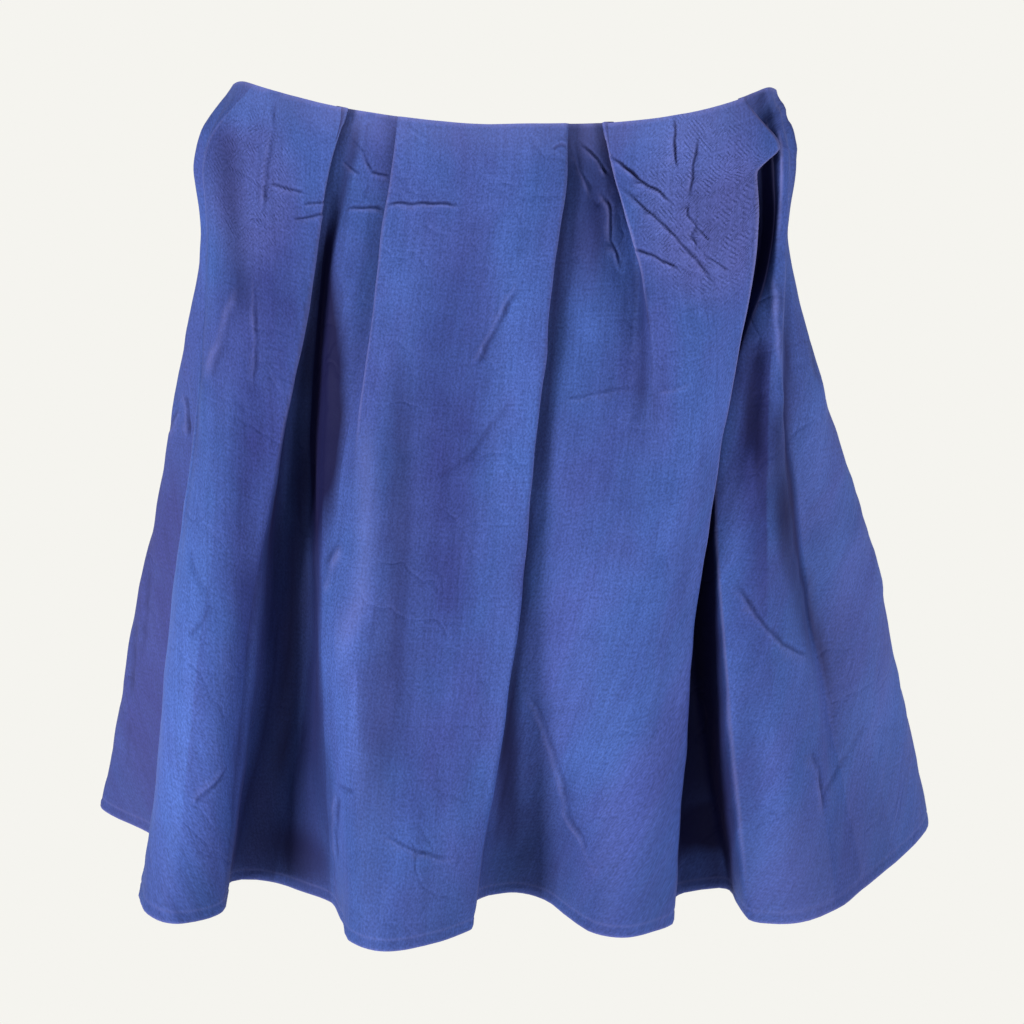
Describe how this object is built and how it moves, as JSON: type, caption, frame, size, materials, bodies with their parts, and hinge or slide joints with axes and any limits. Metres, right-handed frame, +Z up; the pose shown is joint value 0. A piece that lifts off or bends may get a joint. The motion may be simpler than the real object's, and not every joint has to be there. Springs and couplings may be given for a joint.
{
  "type": "pleated midi skirt",
  "caption": "A-line skirt with a faced waist edge and deep inverted pleats that open into soft flutes, filled out as if worn, open at waist and hem.",
  "frame": {"origin": "centre of the waist opening, where the wearer's waist holds the skirt", "axes": "+Z up out of the waist opening, -Y the way the front faces, +X across from side to side"},
  "size_m": [0.7269, 0.4819, 0.6585],
  "materials": {
    "shot_cloth": "crisp shot cotton and silk with a faint sheen"
  },
  "bodies": {
    "root": {"front": "shot_cloth", "back_left": "shot_cloth", "back_right": "shot_cloth"}
  },
  "joints": []
}
